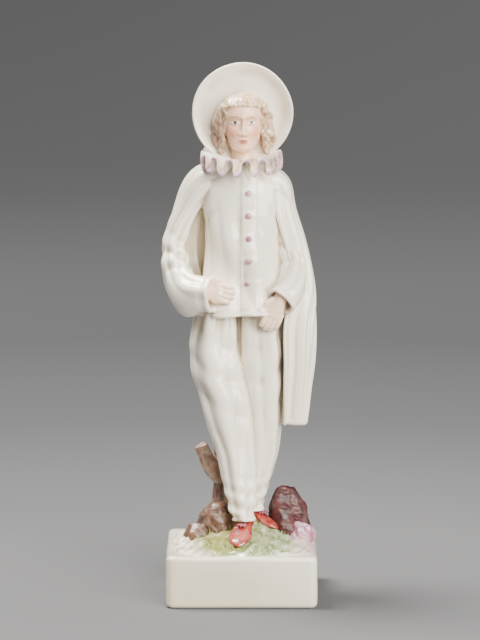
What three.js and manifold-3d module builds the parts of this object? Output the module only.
// A porcelain comedy figure in a white costume, standing on a square plinth.
// Millimetres, +Z up, and the figure faces -Y. The origin is the middle of the plinth's underside.
// Left and right are as seen from the front, so right is +X.
// Figure, tree stump, rocks, mound and plinth are fired in one, so they are joined into one solid.
import * as THREE from "three";
import { mergeVertices } from "three/addons/utils/BufferGeometryUtils.js";
import Module from "manifold-3d";

const wasm = await Module();
wasm.setup();

const { cos, sin, abs, max, min, exp, hypot, PI } = Math;
const TURN = 2 * PI;
const at = (x, y, z) => new THREE.Vector3(x, y, z);

// Driving dimensions.
const PLINTH = { side: 50, height: 17.2, corner: 2.6, edge: 1.4 };
const MOUND = { half: 23.2, rise: 3.9, square: 5, clumps: 0.5, buried: 3 };
const KNOLL = { x: 4.5, y: 3, rise: 3.8, reach: 9 };
const ROCKS = [
  { foot: at(-8.2, 3, 20), size: at(6.6, 6.2, 10.6), phase: 0.6 },
  { foot: at(-14.4, 1, 18.6), size: at(4.8, 5.2, 5.2), phase: 1.4 },
  { foot: at(15.4, 4.5, 20), size: at(6.4, 6.4, 15.8), phase: 2.2 },
  { foot: at(20, 2, 18.6), size: at(4, 5.2, 6.2), phase: 3.1 },
];
const STUMP = { x: -3.4, y: 7.6, bottom: 15, top: 59, radius: 5.6 };
const BRANCH = { root: at(-3, 7, 36.5), bend: at(-9.6, 5, 41), tip: at(-13.6, 4, 50), radius: 2.3 };
const SHOES = [
  { heel: at(1.6, -1, 23.2), toe: at(-1.2, -18.2, 19.5), half: 3.8 },
  { heel: at(1.2, 5, 24.4), toe: at(12.2, -2.4, 22.4), half: 3.3 },
];
const LEG = { frontBottom: 26.2, rearBottom: 28, top: 99 };
const HEM = 95.5;
const SHOULDER = 141;
const COLLAR = 146;
const COAT = { x: 0.3, folds: 7, hem: 1.6, hollow: 3, hollowTop: 2.5, belly: 110, slant: 1.1, reach: 13 };
const SLEEVES = [
  {
    route: [at(-5, 0.5, 140.4), at(-11.8, 1.2, 139.2), at(-18.4, 1.6, 129.6), at(-22.4, 1.6, 118.8),
      at(-21.8, -0.8, 110.6), at(-18.2, -6.6, 105), at(-13.2, -10.8, 104), at(-9.6, -12.6, 104)],
    radius: 4.6, droop: 3.4, phase: 0,
  },
  {
    route: [at(5, 0.5, 139), at(10.8, 1.2, 137.6), at(14.4, 1.5, 128), at(16.4, 1.5, 118.5),
      at(18, -1.4, 110.8), at(16.4, -6, 105), at(12.8, -9.8, 100.6)],
    radius: 4.6, droop: 2.6, phase: 1.3,
  },
];
const CUFF = { depth: 3, lip: 0.8, inside: 0.68 };
const HANDS = [
  { wrist: at(-13.6, -10.9, 104), reach: at(1, -0.12, -0.12), back: at(0, -1, 0.25), turn: 1 },
  { wrist: at(12.9, -9.6, 101.3), reach: at(-0.4, -0.05, -0.92), back: at(0.25, -1, 0.1), turn: -1 },
];
const HAND = { scale: 1.28, thumb: 1.05 };
const FINGERS = { lengths: [3.4, 4.2, 4.4, 3.9], gap: 1.26, radius: 0.88, taper: 0.22 };
const BUTTONS = { count: 5, first: 136, step: 7.4, x: 2.2, radius: 1.05, flat: 0.7 };
const CAPE = { top: 145, bottom: 58.3, thickness: 2.4, folds: 6 };
const RUFF = {
  x: 0, y: -0.6, z: 146.4, inside: 4, radius: 13.6, pleats: 15, height: 6.2, cloth: 1.6, tilt: 0.1,
};
const NECK = { x: 0.4, y: 0.2, z: 148, length: 12, top: 4, bottom: 4.6 };
const HEAD = { x: 0.6, y: -1.2, z: 159.2, half: 10 };
const HAT = { x: 0.35, y: 1.6, z: 162, radius: 16.7, crown: 9.4, depth: 9.5, lean: 0.03 };

// How many flat sides go round each form, and how many steps go along it.
const SIDES = {
  corner: 2, mound: 24, rock: 10, stump: 12, branch: 7, leg: 16, shoe: 9, rosette: 7, coat: 28, button: 6,
  sleeve: 12, palm: 8, finger: 5, neck: 12, head: 24, hair: 16, lock: 6, hat: 24,
};
const STEPS = {
  branch: 5, leg: 10, shoe: 6, ball: 3, sleeve: 12, finger: 2, capeRows: 5, capeColumns: 19, lock: 6,
};

// A smooth function through [place, value] pairs, level beyond both ends.
function through(...keys) {
  const last = keys.length - 1;
  const slope = (i) => {
    const before = keys[max(i - 1, 0)];
    const after = keys[min(i + 1, last)];
    return (after[1] - before[1]) / (after[0] - before[0]);
  };
  return (place) => {
    const x = THREE.MathUtils.clamp(place, keys[0][0], keys[last][0]);
    let i = 0;
    while (i < last - 1 && x > keys[i + 1][0]) i += 1;
    const [x0, y0] = keys[i];
    const [x1, y1] = keys[i + 1];
    const u = (x - x0) / (x1 - x0);
    const v = 1 - u;
    const bend = u * v * (x1 - x0) * (v * slope(i) - u * slope(i + 1));
    return v * v * (1 + 2 * u) * y0 + u * u * (3 - 2 * u) * y1 + bend;
  };
}

// A round hill of height 1 that fades out at about twice the reach.
const hill = (distance, reach) => exp(-((distance / reach) ** 2));

// Evenly spaced values from low to high, both included.
function spread(low, high, steps) {
  return Array.from({ length: steps + 1 }, (_, i) => low + ((high - low) * i) / steps);
}

// Angles all the way round, without the last one, which is the first again.
const around = (sides) => Array.from({ length: sides }, (_, i) => (TURN * i) / sides);

// A geometry from points and triangles, turned inside out if its faces point inwards.
function closed(points, faces) {
  let volume = 0;
  for (let i = 0; i < faces.length; i += 3) {
    const [a, b, c] = faces.slice(i, i + 3).map((k) => points[k]);
    volume += a.dot(b.clone().cross(c));
  }
  const geometry = new THREE.BufferGeometry().setFromPoints(points);
  geometry.setIndex(volume < 0 ? faces.reverse() : faces);
  return geometry;
}

// A closed skin over rings of points, each end closed by a fan to its ring's middle.
function skin(rings) {
  const n = rings[0].length;
  const points = rings.flat();
  const faces = [];
  for (let row = 0; row < rings.length - 1; row += 1) {
    for (let k = 0; k < n; k += 1) {
      const a = row * n + k;
      const b = row * n + ((k + 1) % n);
      faces.push(a, b, b + n, a, b + n, a + n);
    }
  }
  for (const [row, flip] of [[0, true], [rings.length - 1, false]]) {
    const middle = rings[row].reduce((sum, p) => sum.add(p), at(0, 0, 0)).divideScalar(n);
    points.push(middle);
    for (let k = 0; k < n; k += 1) {
      const a = row * n + k;
      const b = row * n + ((k + 1) % n);
      faces.push(...(flip ? [points.length - 1, b, a] : [points.length - 1, a, b]));
    }
  }
  return closed(points, faces);
}

// A thick sheet between two equal grids of points, closed along its four borders.
function sheet(outer, inner) {
  const rows = outer.length;
  const columns = outer[0].length;
  const points = [...outer.flat(), ...inner.flat()];
  const front = (r, c) => r * columns + c;
  const back = (r, c) => rows * columns + r * columns + c;
  const faces = [];
  const quad = (a, b, c, d) => faces.push(a, b, c, a, c, d);
  for (let r = 0; r < rows - 1; r += 1) {
    for (let c = 0; c < columns - 1; c += 1) {
      quad(front(r, c), front(r, c + 1), front(r + 1, c + 1), front(r + 1, c));
      quad(back(r, c), back(r + 1, c), back(r + 1, c + 1), back(r, c + 1));
    }
    quad(front(r, 0), front(r + 1, 0), back(r + 1, 0), back(r, 0));
    const end = columns - 1;
    quad(front(r + 1, end), front(r, end), back(r, end), back(r + 1, end));
  }
  for (let c = 0; c < columns - 1; c += 1) {
    quad(front(0, c + 1), front(0, c), back(0, c), back(0, c + 1));
    const end = rows - 1;
    quad(front(end, c), front(end, c + 1), back(end, c + 1), back(end, c));
  }
  return closed(points, faces);
}

// An upright form with a level ring at each height. form(z, a) gives the point at height z and angle a,
// where a is 0 at the front and grows towards the right.
function upright(heights, sides, form) {
  return skin(heights.map((z) => around(sides).map((a) => form(z, a))));
}

// A limb along a curve. size(t) gives its radius and how far its underside droops, crease(t, a) is what
// its folds add to the radius, and mouth is the depth of the hollow in its far end.
function limb(route, steps, sides, size, crease = () => 0, mouth = 0) {
  const curve = new THREE.CatmullRomCurve3(route);
  const frames = curve.computeFrenetFrames(steps, false);
  const down = at(0, 0, -1);
  const ring = (t, i, share = 1) => {
    const middle = curve.getPointAt(t);
    const { radius, droop = 0 } = size(t);
    const below = down.clone().addScaledVector(frames.tangents[i], -down.dot(frames.tangents[i]));
    return around(sides).map((a) => {
      const out = frames.normals[i].clone().multiplyScalar(cos(a));
      out.addScaledVector(frames.binormals[i], sin(a));
      const hang = share * droop * max(0, out.dot(below)) ** 1.5;
      const reach = share * (radius + crease(t, a));
      return middle.clone().addScaledVector(out, reach).addScaledVector(down, hang);
    });
  };
  const rings = spread(0, 1, steps).map((t, i) => ring(t, i));
  if (mouth > 0) {
    const inwards = curve.getTangentAt(1).multiplyScalar(-mouth);
    rings.push(ring(1, steps, CUFF.lip), ring(1, steps, CUFF.inside).map((p) => p.add(inwards)));
  }
  return skin(rings);
}

// The plinth: a square slab with soft edges.
function plinth() {
  const half = PLINTH.side / 2 - PLINTH.edge;
  const turn = PLINTH.corner;
  const outline = new THREE.Shape();
  [[1, 1], [-1, 1], [-1, -1], [1, -1]].forEach(([x, y], k) => {
    outline.absarc(x * (half - turn), y * (half - turn), turn, (k * PI) / 2, ((k + 1) * PI) / 2);
  });
  const block = new THREE.ExtrudeGeometry(outline, {
    depth: PLINTH.height - 2 * PLINTH.edge,
    bevelThickness: PLINTH.edge,
    bevelSize: PLINTH.edge,
    bevelSegments: SIDES.corner,
    curveSegments: SIDES.corner,
  });
  return block.translate(0, 0, PLINTH.edge);
}

// Height of the ground on the plinth: it rises in the middle, and higher behind, under the raised foot.
function ground(x, y) {
  const edge = min(1, hypot(x, y) / MOUND.half);
  const swell = MOUND.rise * (1 - edge ** 2);
  const knoll = KNOLL.rise * hill(hypot(x - KNOLL.x, y - KNOLL.y), KNOLL.reach);
  const clumps = MOUND.clumps * sin(0.9 * x + 1) * cos(0.8 * y - 0.6 * x);
  return PLINTH.height + 0.5 + swell + knoll + clumps;
}

// The grassy mound over the plinth's top, square in plan with a wavy edge.
function mound() {
  const reach = (a) => {
    const square = (abs(cos(a)) ** MOUND.square + abs(sin(a)) ** MOUND.square) ** (-1 / MOUND.square);
    return MOUND.half * square + 0.7 * sin(9 * a) + 0.5 * sin(14 * a + 1);
  };
  const ring = (share, height) => around(SIDES.mound).map((a) => {
    const x = share * reach(a) * sin(a);
    const y = -share * reach(a) * cos(a);
    return at(x, y, height ?? ground(x, y));
  });
  const skirt = [ring(0.97, PLINTH.height - MOUND.buried), ring(1, PLINTH.height - 0.2)];
  return skin([...skirt, ...[0.93, 0.7, 0.4].map((share) => ring(share))]);
}

// A rough rock: a ball with lumps, cut off in the ground. Its heights are shares of its own.
function rock({ foot, size, phase }) {
  return upright([-0.3, 0, 0.35, 0.65, 0.86, 0.97], SIDES.rock, (h, a) => {
    const wide = (1 - abs(h) ** 2.4) ** 0.5;
    const lumps = 0.96 + 0.11 * sin(3 * a + phase + 2 * h) + 0.14 * abs(sin(2.5 * a - phase + 3 * h));
    const x = size.x * wide * lumps * sin(a);
    const y = -size.y * wide * lumps * cos(a);
    const lean = 1 + 0.16 * wide * sin(a + phase);
    return at(x, y, size.z * h * lean).add(foot);
  });
}

// The tree stump behind the legs, with roots that spread into the ground.
function stump() {
  const flare = through([STUMP.bottom, 1.75], [22, 1.4], [30, 1.08], [45, 0.95], [STUMP.top, 0.9]);
  return upright([STUMP.bottom, 19, 23, 28, 35, 43, 51, STUMP.top], SIDES.stump, (z, a) => {
    const roots = 1 + 0.32 * (flare(z) - 0.85) * cos(5 * a + 0.7) + 0.05 * cos(9 * a + 0.25 * z);
    const r = STUMP.radius * flare(z) * roots;
    return at(STUMP.x + r * sin(a), STUMP.y - r * cos(a), z);
  });
}

// The cut branch that stands up at the stump's side.
function branch() {
  const route = [BRANCH.root, BRANCH.bend, BRANCH.tip];
  const size = (t) => ({ radius: BRANCH.radius * (1.4 - 0.45 * t) });
  return limb(route, STEPS.branch, SIDES.branch, size, (t, a) => 0.25 * sin(3 * a + 6 * t));
}

// A trouser leg: wide below the coat and narrow at the ankle, with long folds and a few cross ones.
function leg(middleX, middleY, halfWidth, bottom, phase) {
  const gather = through([bottom, 0.55], [bottom + 6, 0.35], [bottom + 16, 0]);
  return upright(spread(bottom, LEG.top, STEPS.leg), SIDES.leg, (z, a) => {
    const long = 0.085 * sin(5 * a + phase + 0.03 * z) + 0.03 * sin(3 * a - phase - 0.05 * z);
    const cross = gather(z) * sin(1.15 * z + 2 * sin(a + phase));
    const r = halfWidth(z) * (1 + long) + cross;
    return at(middleX(z) + r * sin(a), middleY(z) - 1.02 * r * cos(a), z);
  });
}

function trousers() {
  const frontX = through([26, 0.4], [34, -0.1], [42, -1.3], [50, -2.5], [58, -4.2], [66, -5.2], [75, -7.6],
    [84, -8.9], [91, -8.4], [99, -7.4]);
  const frontY = through([26, -6.5], [40, -4.6], [60, -2.5], [92, -1.4]);
  const frontHalf = through([26, 3.3], [34, 4.8], [42, 5.6], [50, 6.3], [58, 7.4], [66, 8], [75, 8.2],
    [84, 7.8], [91, 7.3], [99, 6.6]);
  const rearX = through([28, 3.9], [34, 4.5], [42, 5.9], [50, 6.7], [66, 6.7], [84, 6.5], [99, 6.2]);
  const rearY = through([28, 2.4], [40, 1.6], [60, 0.6], [92, 0]);
  const rearHalf = through([28, 3], [34, 3.8], [42, 4.9], [50, 5.8], [66, 6.9], [84, 7.2], [99, 6.8]);
  return [
    leg(frontX, frontY, frontHalf, LEG.frontBottom, 0.4),
    leg(rearX, rearY, rearHalf, LEG.rearBottom, 2.1),
  ];
}

// A low shoe from its heel to its toe, with a rosette on the instep.
function shoe({ heel, toe, half }) {
  const along = toe.clone().sub(heel);
  const side = at(-along.y, along.x, 0).normalize();
  const width = through([0, 0.62], [0.15, 0.82], [0.4, 0.78], [0.72, 1], [0.92, 0.72], [1, 0.3]);
  const height = through([0, 3.6], [0.3, 4.8], [0.5, 4], [0.75, 2.7], [0.93, 2], [1, 1.1]);
  const rings = spread(0, 1, STEPS.shoe).map((t) => around(SIDES.shoe).map((a) => {
    const across = half * width(t) * sin(a);
    const up = 0.5 * height(t) * (1 - cos(a)) ** 0.9;
    return heel.clone().addScaledVector(along, t).addScaledVector(side, across).add(at(0, 0, up));
  }));
  const rosette = new THREE.SphereGeometry(1.7, SIDES.rosette, STEPS.ball).scale(1, 1, 0.6);
  const knot = heel.clone().addScaledVector(along, 0.55);
  return [skin(rings), rosette.translate(knot.x, knot.y, knot.z + 3.7)];
}

// The loose coat's plain half width, and its depth in front of and behind its middle, at each height.
const coatWidth = through([HEM, 15.6], [101, 14.2], [109, 12.5], [120, 12], [133, 12.8], [138, 13],
  [142, 10.6], [COLLAR, 5]);
const coatFront = through([HEM, 12.4], [101, 11.2], [110, 9.9], [122, 9.2], [134, 8.2], [141, 6.8],
  [COLLAR, 4.6]);
const coatBack = through([HEM, 11.4], [101, 10.8], [110, 10.4], [122, 9.6], [134, 8], [141, 6],
  [COLLAR, 4.2]);

// How deep the coat's long folds are at each height.
const coatFall = through([HEM, 1.15], [103, 0.75], [118, 0.3], [SHOULDER, 0]);

// The coat's surface at height z and angle a: long folds that deepen towards the hem, and broad ones
// that slant over the belly. inset brings the point nearer to the middle.
function coatPoint(z, a, inset = 0) {
  const long = coatFall(z) * (0.7 + 0.3 * cos(a)) * sin(COAT.folds * a + 0.8 + 0.04 * z);
  const belly = COAT.slant * hill(z - COAT.belly, COAT.reach) * max(0, cos(a));
  const folds = long + belly * sin(0.22 * z + 3.1 * a + 0.3) - inset;
  const depth = cos(a) > 0 ? coatFront(z) : coatBack(z);
  return at(COAT.x + (coatWidth(z) + folds) * sin(a), -(depth + folds) * cos(a), z);
}

// The coat, with a hollow inside its hem, so that the hem reads as an edge.
function coat() {
  const rows = [HEM, 99, 104, 109.5, 115, 121, 127, 133, 138, 142, COLLAR];
  const angles = around(SIDES.coat);
  const rings = rows.map((z) => angles.map((a) => coatPoint(z, a)));
  const lip = angles.map((a) => coatPoint(HEM, a, COAT.hem));
  const inside = angles.map((a) => coatPoint(HEM, a, COAT.hollow).setZ(HEM + COAT.hollowTop));
  return skin([inside, lip, ...rings]);
}

// The row of round buttons down the front.
function buttons() {
  return spread(0, BUTTONS.count - 1, BUTTONS.count - 1).map((k) => {
    const z = BUTTONS.first - BUTTONS.step * k;
    const p = coatPoint(z, BUTTONS.x / coatWidth(z));
    const ball = new THREE.SphereGeometry(BUTTONS.radius, SIDES.button, STEPS.ball);
    return ball.scale(1, BUTTONS.flat, 1).translate(p.x, p.y, p.z);
  });
}

// A sleeve from the shoulder over the elbow to an open cuff. Its forearm is wider and droops.
function sleeve({ route, radius, droop, phase }) {
  const wide = through([0, 1.15], [0.13, 1.22], [0.32, 0.84], [0.5, 0.8], [0.67, 0.92], [0.82, 1],
    [1, 1.06]);
  const hang = through([0, 0], [0.52, 0], [0.62, 1.8], [0.7, 2.7], [0.8, 2.1], [0.93, 0.9], [1, 0.6]);
  const size = (t) => ({ radius: radius * wide(t), droop: droop * hang(t) });
  const crease = (t, a) => 0.38 * sin(3 * a + 16 * t + phase) + 0.3 * sin(5 * a - 22 * t + phase);
  return limb(route, STEPS.sleeve, SIDES.sleeve, size, crease, CUFF.depth);
}

// A hand: a flat palm that starts inside the sleeve, four fingers side by side and a thumb. It points
// along reach, and back is where its back faces. turn is -1 for the hand with its thumb on the other side.
function hand({ wrist, reach, back, turn }) {
  const along = reach.clone().normalize();
  const side = back.clone().cross(along).normalize();
  const out = along.clone().cross(side);
  const across = side.multiplyScalar(turn);
  const place = (u, v, w) => {
    const p = wrist.clone().addScaledVector(along, HAND.scale * u);
    return p.addScaledVector(across, HAND.scale * v).addScaledVector(out, HAND.scale * w);
  };
  const wide = through([-2, 1.7], [0, 1.8], [1.5, 1.9], [4.5, 2.5], [6, 2.3]);
  const thick = through([-2, 1.4], [0, 1.6], [3, 1.4], [6, 1]);
  const palm = skin([-2, 0, 3, 6].map((u) => around(SIDES.palm).map((a) => {
    return place(u, wide(u) * cos(a), thick(u) * sin(a));
  })));
  const digit = (route, radius) => limb(route, STEPS.finger, SIDES.finger, (t) => {
    return { radius: HAND.scale * (radius - FINGERS.taper * t) };
  });
  const fingers = FINGERS.lengths.map((length, k) => {
    const v = FINGERS.gap * (k - 1.5);
    const route = [place(4.4, v, 0), place(4.6 + 0.6 * length, v, 0.2), place(4.8 + length, v, -0.7)];
    return digit(route, FINGERS.radius);
  });
  const thumb = [place(0.8, 1.3, 0), place(3, 3, -0.1), place(5.2, 3.5, -0.5)];
  return [palm, ...fingers, digit(thumb, HAND.thumb)];
}

// The cape: from the collar over the shoulders and down the back, round the arm at the right, and behind
// the arm at the left.
function cape() {
  const middleX = through([CAPE.bottom, 5.4], [80, 4.4], [92, 4], [105, 1.8], [118, 0.2], [130, 0],
    [137, 0.9], [CAPE.top, 0.4]);
  const middleY = through([CAPE.bottom, 3], [80, 2.4], [118, 2], [CAPE.top, 0.8]);
  const reachX = through([CAPE.bottom, 15.2], [70, 17], [80, 18.8], [92, 19.9], [105, 22.4], [118, 21.8],
    [130, 18.2], [137, 15.7], [141, 13.8], [CAPE.top, 7.6]);
  const reachY = through([CAPE.bottom, 10.6], [80, 11], [105, 10.6], [118, 9.8], [130, 8.8], [140, 7.2],
    [CAPE.top, 4.8]);
  const frontEdge = through([CAPE.bottom, -0.98], [80, -1.03], [92, -1.03], [108, -0.8], [125, -0.85],
    [CAPE.top, -0.95]);
  const backEdge = through([CAPE.bottom, 2.45], [80, 2.5], [94, 2.6], [104, 2.92], [130, 2.95],
    [CAPE.top, 2.62]);
  const fall = through([CAPE.bottom, 1.4], [90, 1], [120, 0.45], [CAPE.top, 0]);
  const point = (z, s, inset) => {
    const a = frontEdge(z) + (backEdge(z) - frontEdge(z)) * s;
    const folds = fall(z) * sin(CAPE.folds * TURN * s + 0.9 + 0.02 * z);
    const low = CAPE.bottom + 1.2 * sin(5 * s + 2) - 1.2;
    const height = CAPE.top - ((CAPE.top - z) * (CAPE.top - low)) / (CAPE.top - CAPE.bottom);
    const x = middleX(z) + (reachX(z) + folds - inset) * cos(a);
    const y = middleY(z) + (reachY(z) + folds - inset) * sin(a);
    return at(x, y, height);
  };
  const rows = [...spread(CAPE.bottom, 124, STEPS.capeRows), 132, 137, 141.5, CAPE.top];
  const grid = (inset) => rows.map((z) => spread(0, 1, STEPS.capeColumns).map((s) => point(z, s, inset)));
  return sheet(grid(0), grid(CAPE.thickness));
}

// The pleated ruff: one cloth that waves up and down all round, and more towards its edge.
function ruff() {
  const wave = (RUFF.height - RUFF.cloth) / 2;
  const ring = (r, side) => around(4 * RUFF.pleats).map((a) => {
    const lift = wave * (r / RUFF.radius) ** 1.4 * sin(RUFF.pleats * a);
    const x = r * sin(a);
    const y = -r * cos(a);
    return at(RUFF.x + x, RUFF.y + y, RUFF.z + lift + 0.5 * side * RUFF.cloth + RUFF.tilt * y);
  });
  const radii = [RUFF.inside, RUFF.radius];
  return skin([...radii.map((r) => ring(r, -1)), ...radii.reverse().map((r) => ring(r, 1))]);
}

// The head's plain half width, and its depth before and behind its middle, by share of its half height.
const headWidth = through([-1, 2.2], [-0.86, 4.1], [-0.6, 5.3], [-0.35, 6.2], [0, 6.9], [0.3, 7.1],
  [0.6, 6.4], [0.85, 4.3], [1, 1]);
const headFront = through([-1, 4.4], [-0.88, 6.4], [-0.72, 6.5], [-0.6, 6.7], [-0.4, 6.9], [0, 7],
  [0.24, 7.7], [0.5, 7.3], [0.8, 5], [1, 1]);
const headBack = through([-1, 2.5], [-0.6, 5.5], [-0.3, 7.5], [0, 8.6], [0.3, 9], [0.6, 8], [0.85, 5.2],
  [1, 1]);

// What a calm, general face adds to the head: eyes at half height, nose and mouth at the usual shares below.
function face(x, h) {
  const high = HEAD.half;
  const nose = 2.1 * hill(x, 1) * through([-0.5, 0], [-0.4, 0.85], [-0.3, 1], [0, 0.45], [0.2, 0])(h);
  const sockets = -0.8 * hill(hypot(abs(x) - 2.7, (h - 0.03) * high), 1.5);
  const eyes = 0.55 * hill(hypot(abs(x) - 2.7, 1.4 * h * high), 0.9);
  const upperLip = 0.35 * hill(hypot(0.5 * x, (h + 0.57) * high), 0.55);
  const lowerLip = 0.35 * hill(hypot(0.6 * x, (h + 0.68) * high), 0.55);
  return nose + sockets + eyes + upperLip + lowerLip;
}

// A point of the head at share h of its half height, moved out by raised.
function headPoint(h, a, raised = 0) {
  const depth = cos(a) > 0 ? headFront(h) : headBack(h);
  const x = (headWidth(h) + raised) * sin(a);
  const relief = cos(a) > 0 && raised === 0 ? face(x, h) * cos(a) ** 2 : 0;
  return at(HEAD.x + x, HEAD.y - (depth + raised) * cos(a) - relief, HEAD.z + HEAD.half * h);
}

function head() {
  const rows = [-1, -0.9, -0.76, -0.68, -0.61, -0.54, -0.44, -0.34, -0.18, -0.04, 0.1, 0.24, 0.45, 0.7, 0.9,
    1];
  return upright(rows, SIDES.head, (h, turn) => headPoint(h, turn - 0.6 * sin(turn)));
}

// Hair over the head from the hairline up, with a scalloped edge, and locks at both temples.
function hair() {
  const line = through([0, 0.55], [0.9, 0.42], [1.5, -0.1], [2.2, -0.75], [PI, -0.85]);
  const ring = (share, raised) => around(SIDES.hair).map((a) => {
    const low = line(a > PI ? TURN - a : a);
    return headPoint(low + (1.02 - low) * share, a, raised + 0.2 * sin(8 * a));
  });
  const layers = [[0, -0.8], [0.04, 0.5], [0.3, 0.8], [0.6, 0.8], [0.85, 0.6], [1, 0.2]];
  const cap = skin(layers.map(([share, raised]) => ring(share, raised)));
  const lock = (side, out) => limb(
    [at(5.8, -4, 165), at(7.4, -2.6, 160), at(7.9 + 0.5 * out, -1, 155), at(8 + out, 0.6, 150.5)]
      .map((p) => at(HEAD.x + side * p.x, p.y, p.z)),
    STEPS.lock,
    SIDES.lock,
    (t) => ({ radius: 1.3 + 0.9 * sin(PI * min(1, 0.2 + 0.75 * t)) }),
    (t, a) => 0.28 * sin(2 * a + 14 * t),
  );
  return [cap, lock(-1, 0), lock(1, 1.2)];
}

// The neck, which the ruff hides.
function neck() {
  const { x, y, z, length, top, bottom } = NECK;
  return new THREE.CylinderGeometry(top, bottom, length, SIDES.neck).rotateX(PI / 2).translate(x, y, z);
}

// The hat: a round brim that stands up behind the face, and a low crown behind it.
function hat() {
  const { radius, crown, depth } = HAT;
  const outline = [[0, depth], [0.6 * crown, depth], [0.92 * crown, depth - 1.8], [1.05 * crown, 1.6],
    [0.84 * radius, 0.8], [radius, -1.5], [0.98 * radius, -2.2], [0.93 * radius, -1.8],
    [0.78 * radius, -0.4], [0.45 * radius, 0], [0, 0]];
  const profile = outline.reverse().map(([r, y]) => new THREE.Vector2(r, y));
  return new THREE.LatheGeometry(profile, SIDES.hat).rotateX(HAT.lean).translate(HAT.x, HAT.y, HAT.z);
}

// A geometry as a solid that can be joined.
function solid(geometry) {
  const bare = geometry.clone();
  bare.deleteAttribute("normal");
  bare.deleteAttribute("uv");
  const merged = mergeVertices(bare, 1e-4);
  const triangles = [];
  const index = merged.index.array;
  for (let i = 0; i < index.length; i += 3) {
    const [a, b, c] = index.slice(i, i + 3);
    if (a !== b && b !== c && a !== c) triangles.push(a, b, c);
  }
  return new wasm.Manifold(new wasm.Mesh({
    numProp: 3,
    vertProperties: merged.attributes.position.array,
    triVerts: Uint32Array.from(triangles),
  }));
}

// Splits triangles into skins, each of which shares no vertex with the others.
function skins(triangles, vertexCount) {
  const group = Array.from({ length: vertexCount }, (_, i) => i);
  const root = (i) => {
    while (group[i] !== i) {
      group[i] = group[group[i]];
      i = group[i];
    }
    return i;
  };
  for (let i = 0; i < triangles.length; i += 3) {
    group[root(triangles[i])] = root(triangles[i + 1]);
    group[root(triangles[i + 1])] = root(triangles[i + 2]);
  }
  const found = new Map();
  for (let i = 0; i < triangles.length; i += 3) {
    const key = root(triangles[i]);
    if (!found.has(key)) found.set(key, []);
    found.get(key).push(...triangles.slice(i, i + 3));
  }
  return [...found.values()];
}

// All the parts joined into one closed body. Pockets shut in between them are filled, so only the
// outer skin stays.
function joined(geometries) {
  const mesh = geometries.map(solid).reduce((sum, next) => sum.add(next)).getMesh();
  const found = skins(mesh.triVerts, mesh.numVert);
  const outer = found.reduce((best, next) => (next.length > best.length ? next : best));
  const geometry = new THREE.BufferGeometry();
  geometry.setAttribute("position", new THREE.BufferAttribute(mesh.vertProperties, 3));
  geometry.setIndex(outer);
  const welded = mergeVertices(geometry, 1e-5);
  welded.computeVertexNormals();
  return welded;
}

const base = [plinth(), mound(), ...ROCKS.map(rock), stump(), branch()];
const body = [...trousers(), ...SHOES.flatMap(shoe), coat(), ...buttons(), cape(), ruff()];
const arms = [...SLEEVES.map(sleeve), ...HANDS.flatMap(hand)];
const top = [neck(), head(), ...hair(), hat()];

const porcelain = new THREE.MeshStandardMaterial({ color: 0xe9e2d6, roughness: 0.22, metalness: 0 });
const figure = new THREE.Mesh(joined([...base, ...body, ...arms, ...top]), porcelain);
figure.name = "porcelain_figure";

const part = new THREE.Group();
part.add(figure);
export default part;
